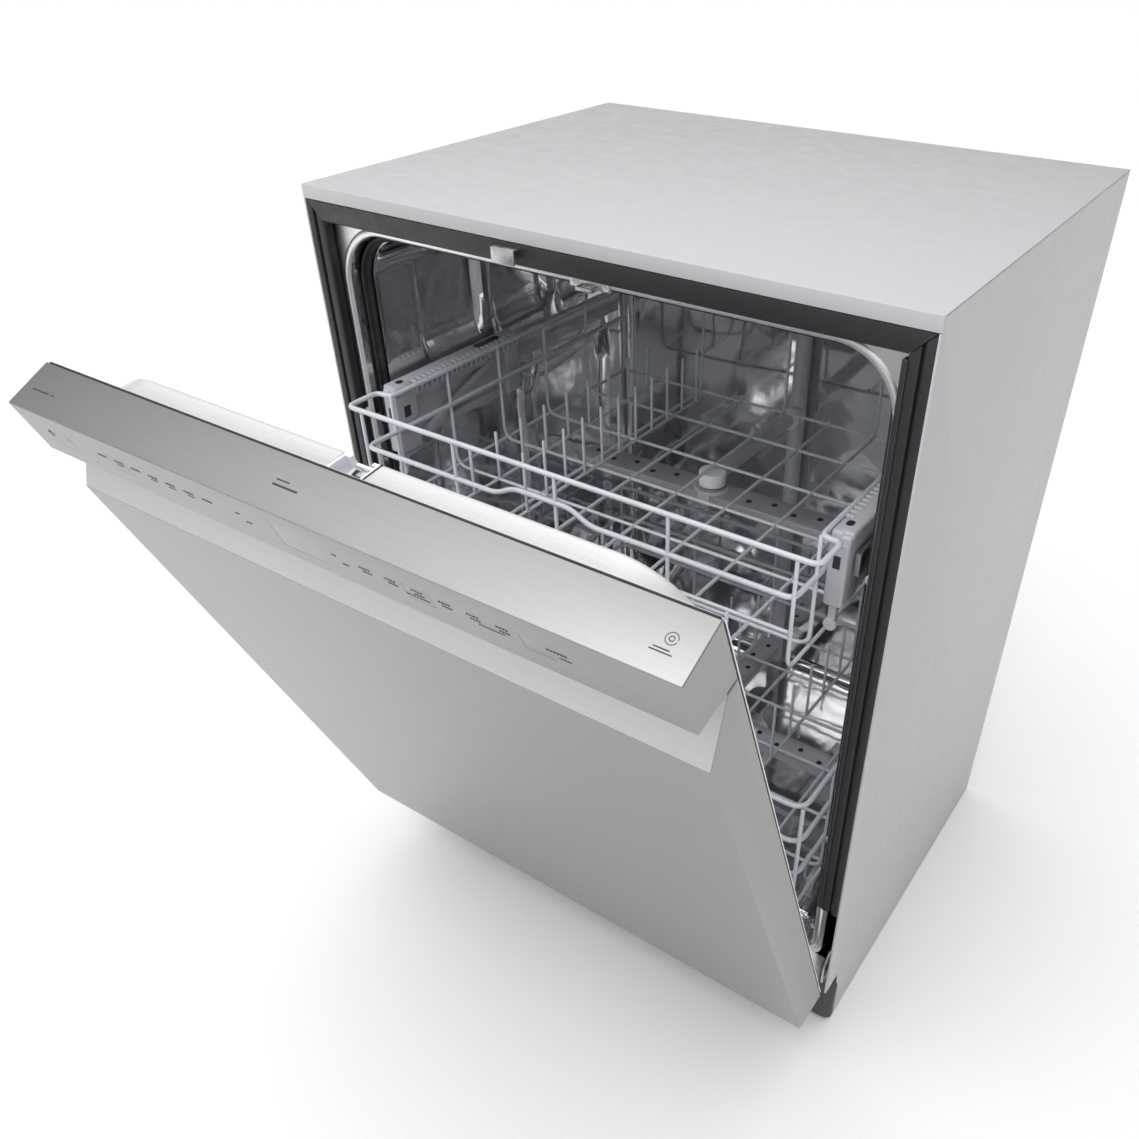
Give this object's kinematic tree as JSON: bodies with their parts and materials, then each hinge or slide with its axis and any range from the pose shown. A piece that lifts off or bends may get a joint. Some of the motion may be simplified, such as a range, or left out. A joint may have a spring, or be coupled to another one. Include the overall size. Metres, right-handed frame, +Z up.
{
  "type": "built-in dishwasher",
  "caption": "Built-in dishwasher with its drop-down door ajar: grey casing, stainless tub, sliding racks, spray arms and a brushed-steel door with a pocket pull.",
  "frame": {"origin": "centre of the base tray's flat underside", "axes": "+X to the right of someone facing the door, +Y towards the back, +Z up"},
  "size_m": [0.609, 0.7769, 0.815],
  "materials": {
    "grey_paint": "satin pale grey paint on folded steel sheet",
    "brushed_steel": "brushed, grain across the door",
    "stainless_tub": "bright stainless sheet, near mirror",
    "zinc_steel": "zinc-plated steel hardware",
    "dark_plastic": "matt black plastic",
    "dark_grey_paint": "dark grey paint",
    "grey_plastic": "mid grey moulded plastic",
    "pale_plastic": "pale grey moulded plastic",
    "black_rubber": "black door seal",
    "rack_nylon": "nylon-coated steel wire, pale grey",
    "display_glass": "unlit smoked display window"
  },
  "bodies": {
    "cabinet": {"top_panel": "grey_paint", "side_panel_left": "grey_paint", "side_panel_right": "grey_paint", "rear_panel": "grey_paint", "base_tray": "dark_plastic", "kick_plate": "dark_grey_paint", "trim_top": "dark_plastic", "trim_left": "dark_plastic", "trim_right": "dark_plastic", "mount_bracket": "zinc_steel", "tub": "stainless_tub", "tub_gasket": "black_rubber", "latch_strike": "zinc_steel", "sump": "pale_plastic", "filter_plate": "zinc_steel", "wash_pump": "zinc_steel", "drain_pump": "grey_plastic", "feed_tube": "pale_plastic", "rail_outer_left": "stainless_tub", "rail_outer_right": "stainless_tub", "hinge_bracket_left": "zinc_steel", "hinge_bracket_right": "zinc_steel", "door_spring_left": "zinc_steel", "door_spring_right": "zinc_steel"},
    "door": {"door_panel": "brushed_steel", "control_panel": "brushed_steel", "display_window": "display_glass", "door_liner": "stainless_tub", "latch_housing": "pale_plastic", "dispenser": "pale_plastic", "hinge_arm_left": "zinc_steel", "hinge_arm_right": "zinc_steel"},
    "hook": {"latch_hook": "zinc_steel"},
    "soap_lid": {"dispenser_lid": "pale_plastic"},
    "rinse": {"rinse_cap": "grey_plastic"},
    "power_key": {"key_power": "brushed_steel"},
    "cycle_key": {"key_cycle": "brushed_steel"},
    "options_key": {"key_options": "brushed_steel"},
    "start_key": {"key_start": "brushed_steel"},
    "carriage": {"adjuster_left": "grey_plastic", "adjuster_right": "grey_plastic"},
    "cup_rack": {"upper_rack": "rack_nylon", "rack_feed_tube": "pale_plastic"},
    "cup_tines": {"tines_upper": "rack_nylon"},
    "middle_arm": {"spray_arm_middle": "grey_plastic"},
    "left_slide": {"rail_slide_left": "stainless_tub"},
    "right_slide": {"rail_slide_right": "stainless_tub"},
    "plate_rack": {"lower_rack": "rack_nylon"},
    "wheel_fl": {"wheel_front_left": "grey_plastic"},
    "wheel_fr": {"wheel_front_right": "grey_plastic"},
    "wheel_rl": {"wheel_rear_left": "grey_plastic"},
    "wheel_rr": {"wheel_rear_right": "grey_plastic"},
    "basket": {"cutlery_basket": "grey_plastic"},
    "lower_arm": {"spray_arm_lower": "grey_plastic"},
    "top_arm": {"spray_arm_top": "grey_plastic"},
    "filter": {"filter_basket": "grey_plastic"},
    "foot_fl": {"foot_front_left": "zinc_steel"},
    "foot_fr": {"foot_front_right": "zinc_steel"},
    "foot_rl": {"foot_rear_left": "zinc_steel"},
    "foot_rr": {"foot_rear_right": "zinc_steel"}
  },
  "joints": [
    {"name": "door_hinge", "type": "hinge", "parent": "cabinet", "child": "door", "pos_m": [0, -0.225, 0.105], "axis": [1, 0, 0], "range_deg": [-21.6, 68.4]},
    {"name": "latch_hook_pivot", "type": "hinge", "parent": "door", "child": "hook", "pos_m": [0.012, -0.47964, 0.72317], "axis": [1, 0, 0], "range_deg": [0, 30], "stiffness_Nm_per_rad": 0.02},
    {"name": "soap_lid_hinge", "type": "hinge", "parent": "door", "child": "soap_lid", "pos_m": [-0.03, -0.3556, 0.35336], "axis": [-1, 0, 0], "range_deg": [0, 100]},
    {"name": "rinse_cap_twist", "type": "hinge", "parent": "door", "child": "rinse", "pos_m": [0.048, -0.37256, 0.38859], "axis": [0, 0.9298, 0.3681], "range_deg": [0, 90]},
    {"name": "key_power_press", "type": "slide", "parent": "door", "child": "power_key", "axis": [0, 0.9298, 0.3681], "range_m": [0, 0.0008], "stiffness_N_per_m": 600},
    {"name": "key_cycle_press", "type": "slide", "parent": "door", "child": "cycle_key", "axis": [0, 0.9298, 0.3681], "range_m": [0, 0.0008], "stiffness_N_per_m": 600},
    {"name": "key_options_press", "type": "slide", "parent": "door", "child": "options_key", "axis": [0, 0.9298, 0.3681], "range_m": [0, 0.0008], "stiffness_N_per_m": 600},
    {"name": "key_start_press", "type": "slide", "parent": "door", "child": "start_key", "axis": [0, 0.9298, 0.3681], "range_m": [0, 0.0008], "stiffness_N_per_m": 600},
    {"name": "upper_rack_slide", "type": "slide", "parent": "cabinet", "child": "carriage", "axis": [0, -1, 0], "range_m": [0, 0.12]},
    {"name": "upper_rack_height", "type": "slide", "parent": "carriage", "child": "cup_rack", "axis": [0, 0, 1], "range_m": [-0.03, 0]},
    {"name": "rail_slide_left_run", "type": "slide", "parent": "cabinet", "child": "left_slide", "axis": [0, -1, 0], "range_m": [0, 0.06]},
    {"name": "rail_slide_right_run", "type": "slide", "parent": "cabinet", "child": "right_slide", "axis": [0, -1, 0], "range_m": [0, 0.06]},
    {"name": "cup_tines_fold", "type": "hinge", "parent": "cup_rack", "child": "cup_tines", "pos_m": [-0.1, -0.035, 0.5251], "axis": [0, 1, 0], "range_deg": [0, 80]},
    {"name": "middle_arm_spin", "type": "hinge", "parent": "cup_rack", "child": "middle_arm", "pos_m": [0, 0, 0.4895], "axis": [0, 0, 1], "continuous": true},
    {"name": "lower_rack_slide", "type": "slide", "parent": "cabinet", "child": "plate_rack", "axis": [0, -1, 0], "range_m": [0, 0.035]},
    {"name": "wheel_front_left_roll", "type": "hinge", "parent": "plate_rack", "child": "wheel_fl", "pos_m": [-0.243, -0.16, 0.1523], "axis": [1, 0, 0], "continuous": true},
    {"name": "wheel_front_right_roll", "type": "hinge", "parent": "plate_rack", "child": "wheel_fr", "pos_m": [0.243, -0.16, 0.1523], "axis": [1, 0, 0], "continuous": true},
    {"name": "wheel_rear_left_roll", "type": "hinge", "parent": "plate_rack", "child": "wheel_rl", "pos_m": [-0.243, 0.115, 0.1523], "axis": [1, 0, 0], "continuous": true},
    {"name": "wheel_rear_right_roll", "type": "hinge", "parent": "plate_rack", "child": "wheel_rr", "pos_m": [0.243, 0.115, 0.1523], "axis": [1, 0, 0], "continuous": true},
    {"name": "cutlery_basket_lift", "type": "slide", "parent": "plate_rack", "child": "basket", "axis": [0, 0, 1], "range_m": [0, 0.06]},
    {"name": "lower_arm_spin", "type": "hinge", "parent": "cabinet", "child": "lower_arm", "pos_m": [0, 0, 0.163], "axis": [0, 0, 1], "continuous": true},
    {"name": "top_arm_spin", "type": "hinge", "parent": "cabinet", "child": "top_arm", "pos_m": [0, 0, 0.726], "axis": [0, 0, 1], "continuous": true},
    {"name": "filter_basket_twist", "type": "hinge", "parent": "cabinet", "child": "filter", "pos_m": [0.048, 0, 0.09], "axis": [0, 0, 1], "range_deg": [0, 90]},
    {"name": "foot_front_left_level", "type": "slide", "parent": "cabinet", "child": "foot_fl", "axis": [0, 0, -1], "range_m": [0, 0.04]},
    {"name": "foot_front_right_level", "type": "slide", "parent": "cabinet", "child": "foot_fr", "axis": [0, 0, -1], "range_m": [0, 0.04]},
    {"name": "foot_rear_left_level", "type": "slide", "parent": "cabinet", "child": "foot_rl", "axis": [0, 0, -1], "range_m": [0, 0.04]},
    {"name": "foot_rear_right_level", "type": "slide", "parent": "cabinet", "child": "foot_rr", "axis": [0, 0, -1], "range_m": [0, 0.04]}
  ],
  "couplings": [
    {"joint": "rail_slide_left_run", "follows": "upper_rack_slide", "ratio": 0.5},
    {"joint": "rail_slide_right_run", "follows": "upper_rack_slide", "ratio": 0.5}
  ]
}
